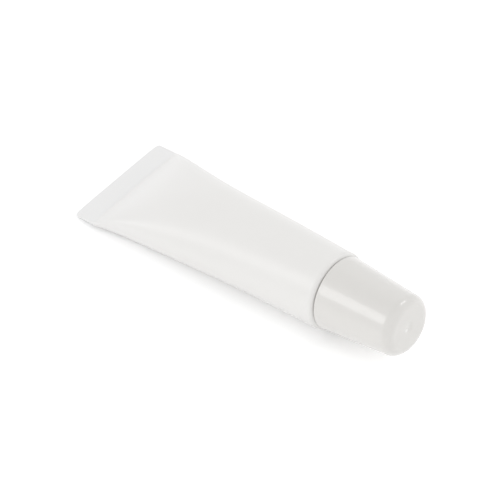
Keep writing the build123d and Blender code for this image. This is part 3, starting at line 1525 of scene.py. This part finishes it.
@dataclass
class Studio:
    """Pale floor, white surroundings, a wide light, a strip light behind and the photograph's camera.

    Attributes:
        lay: Where the tube lies.
        floor_colour: Colour of the floor.
        floor_roughness: Roughness of the floor.
        floor_gloss: Level of the floor's reflection.
        floor_glow: Level by which the floor is lifted to white where it is seen.
        painted_shadow_share: Share of that level that the floor loses where the object closes it off, which
            paints a contact shadow.
        painted_shadow_reach: Height up to which the object closes the floor off for that painted shadow, in
            metres.
        floor_reach: Half size of the floor, in metres.
        tent_wall: Level of the tent's walls.
        tent_roof: Heights, as sines of the elevation, between which the walls go over into the roof.
        tent_shade: Level that the roof lacks.
        front_light: Azimuth, elevation, level and spread of the light on the near side, angles in degrees.
        strip_light: Azimuth, elevation and level of the strip light behind, angles in degrees.
        strip_size: Width and length of the strip light, in metres.
        strip_distance: Its distance, in metres.
        azimuth: Camera's azimuth in degrees.
        elevation: Camera's elevation in degrees.
        distance: Camera's distance from the shoulder, in metres.
        focal_pixels: Focal length in pixels of the picture.
        sensor: Width of the camera's sensor, in millimetres.
        clip: Nearest and furthest distance that the camera sees, in metres.
        slide: Camera's shift to the right and upwards, in metres.
    """

    lay: TubeLay
    floor_colour: Colour = (0.95, 0.95, 0.95)
    floor_roughness: float = 0.7
    floor_gloss: float = 0.2
    floor_glow: float = 0.29
    painted_shadow_share: float = 0.72
    painted_shadow_reach: float = 0.005
    floor_reach: float = 30.0
    tent_wall: float = 1.02
    tent_roof: Point = (0.56, 1.0)
    tent_shade: float = 0.5
    front_light: tuple[float, float, float, float] = (-33.0, 31.0, 0.42, 27.0)
    strip_light: tuple[float, float, float] = (152.5, 50.5, 0.39)
    strip_size: Point = (0.11, 0.72)
    strip_distance: float = 2.0
    azimuth: float = 40.64
    elevation: float = 47.69
    distance: float = 1.5
    focal_pixels: float = 6612.0
    sensor: float = 36.0
    clip: Point = (0.05, 200.0)
    slide: Point = (-0.019978, 0.009595)

    @staticmethod
    def towards(azimuth: float, elevation: float) -> Vector:
        """Unit direction from the object, by azimuth and elevation in degrees."""
        a, e = math.radians(azimuth), math.radians(elevation)
        return Vector((math.sin(a) * math.cos(e), -math.cos(a) * math.cos(e), math.sin(e)))

    def lay_floor(self, height: float) -> None:
        """Lays the floor under the object.

        Args:
            height: Height of the floor, in metres.
        """
        bm = bmesh.new()
        bmesh.ops.create_grid(bm, x_segments=1, y_segments=1, size=self.floor_reach)
        bmesh.ops.translate(bm, verts=bm.verts, vec=(0.0, 0.0, height))
        mesh = bpy.data.meshes.new("floor")
        bm.to_mesh(mesh)
        bm.free()
        mesh.materials.append(self.floor_material())
        floor = put_in_scene("floor", mesh)
        floor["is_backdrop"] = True

    def floor_material(self) -> bpy.types.Material:
        """Makes the floor's material: pale, lifted to white where it is seen, less so close to the object,
        which paints a contact shadow on top of the floor's real shadow.

        Returns:
            The material.
        """
        material, graph = new_graph("pale_floor")
        sockets = {
            "Base Color": opaque(self.floor_colour),
            "Roughness": self.floor_roughness,
            "Specular IOR Level": self.floor_gloss,
        }
        lit = graph.node("ShaderNodeBsdfPrincipled", None, sockets)
        # Painted shadow: the floor's lift to white is taken away where the object closes it off, a painted
        # contact shadow on top of the real one.
        open_share = graph.node("ShaderNodeAmbientOcclusion", None, {"Distance": self.painted_shadow_reach}, "AO")
        lift = open_share * self.painted_shadow_share + (1.0 - self.painted_shadow_share)
        glow = graph.node("ShaderNodeEmission", None, {"Color": lift, "Strength": self.floor_glow})
        lifted = graph.node("ShaderNodeAddShader", None, {0: lit, 1: glow})
        surface = graph.node("ShaderNodeMixShader", None, {0: seen_rays(graph), 1: lit, 2: lifted})
        graph.node("ShaderNodeOutputMaterial", None, {"Surface": surface})
        return material

    def light_surroundings(self) -> None:
        """Makes the surroundings a white light tent, dimmer overhead."""
        world = bpy.data.worlds.new("surroundings")
        world.use_nodes = True
        bpy.context.scene.world = world
        graph = Graph(world.node_tree)
        height = graph.part(graph.node("ShaderNodeTexCoord", out="Generated"), "Z")
        level = self.tent_wall - height.ramp(*self.tent_roof) * self.tent_shade
        surface = graph.node("ShaderNodeBackground", None, {"Color": opaque(WHITE), "Strength": level})
        graph.node("ShaderNodeOutputWorld", None, {"Surface": surface})

    def hang_front_light(self) -> None:
        """Hangs the wide, distant light on the near side."""
        azimuth, elevation, level, spread = self.front_light
        lamp = bpy.data.lights.new("front_light", "SUN")
        lamp.energy = level
        lamp.angle = math.radians(spread)
        light = put_in_scene("front_light", lamp)
        light.rotation_euler = self.towards(azimuth, elevation).to_track_quat("Z", "Y").to_euler()
        light.location = self.towards(azimuth, elevation)

    def hang_strip_light(self) -> None:
        """Hangs the strip light behind, with its long side square to the tube."""
        azimuth, elevation, level = self.strip_light
        out = self.towards(azimuth, elevation)
        long_side = Vector((1.0, 0.0, 0.0)).cross(out).normalized()
        lamp = bpy.data.lights.new("strip_light", "AREA")
        lamp.shape = "RECTANGLE"
        lamp.size, lamp.size_y = self.strip_size
        lamp.energy = level * math.pi * self.strip_distance**2
        light = put_in_scene("strip_light", lamp)
        light.rotation_euler = Matrix((long_side.cross(out), long_side, out)).transposed().to_euler()
        light.location = self.lay.shoulder + out * self.strip_distance

    def set_camera(self) -> None:
        """Sets the camera where the photograph was taken from."""
        back = self.towards(self.azimuth, self.elevation)
        a = math.radians(self.azimuth)
        right = Vector((math.cos(a), math.sin(a), 0.0))
        up = back.cross(right)
        lens = bpy.data.cameras.new("camera")
        lens.sensor_fit = "HORIZONTAL"
        lens.sensor_width = self.sensor
        lens.lens = self.focal_pixels / PICTURE_PIXELS * self.sensor
        lens.clip_start, lens.clip_end = self.clip
        camera = put_in_scene("camera", lens)
        spot = self.lay.shoulder + back * self.distance
        camera.location = spot + right * self.slide[0] + up * self.slide[1]
        camera.rotation_euler = Matrix((right, up, back)).transposed().to_euler()
        bpy.context.scene.camera = camera

    def build(self, height: float) -> None:
        """Builds the whole studio.

        Args:
            height: Height of the floor, in metres.
        """
        self.lay_floor(height)
        self.light_surroundings()
        self.hang_front_light()
        self.hang_strip_light()
        self.set_camera()
        bpy.context.scene.view_settings.view_transform = "Standard"
        log.info("studio: floor at %.5f m, two lights and the camera", height)


def main() -> None:
    """Builds and dresses the pieces in order."""
    logging.basicConfig(level=logging.INFO, format="%(name)s: %(message)s")
    solids = [list(corner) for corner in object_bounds()]
    lay = TubeLay.from_joint(frame["joints"][0], Vector(SHOULDER_PLACE))
    Studio(lay).build(solids[0][2])
    for assembly in (Sleeve(lay), TubeHead(lay), ApplicatorTip(lay), Cap(lay)):
        assembly.dress(assembly.build())
    BalmFill(lay).dress()


if __name__ == "__main__":
    main()
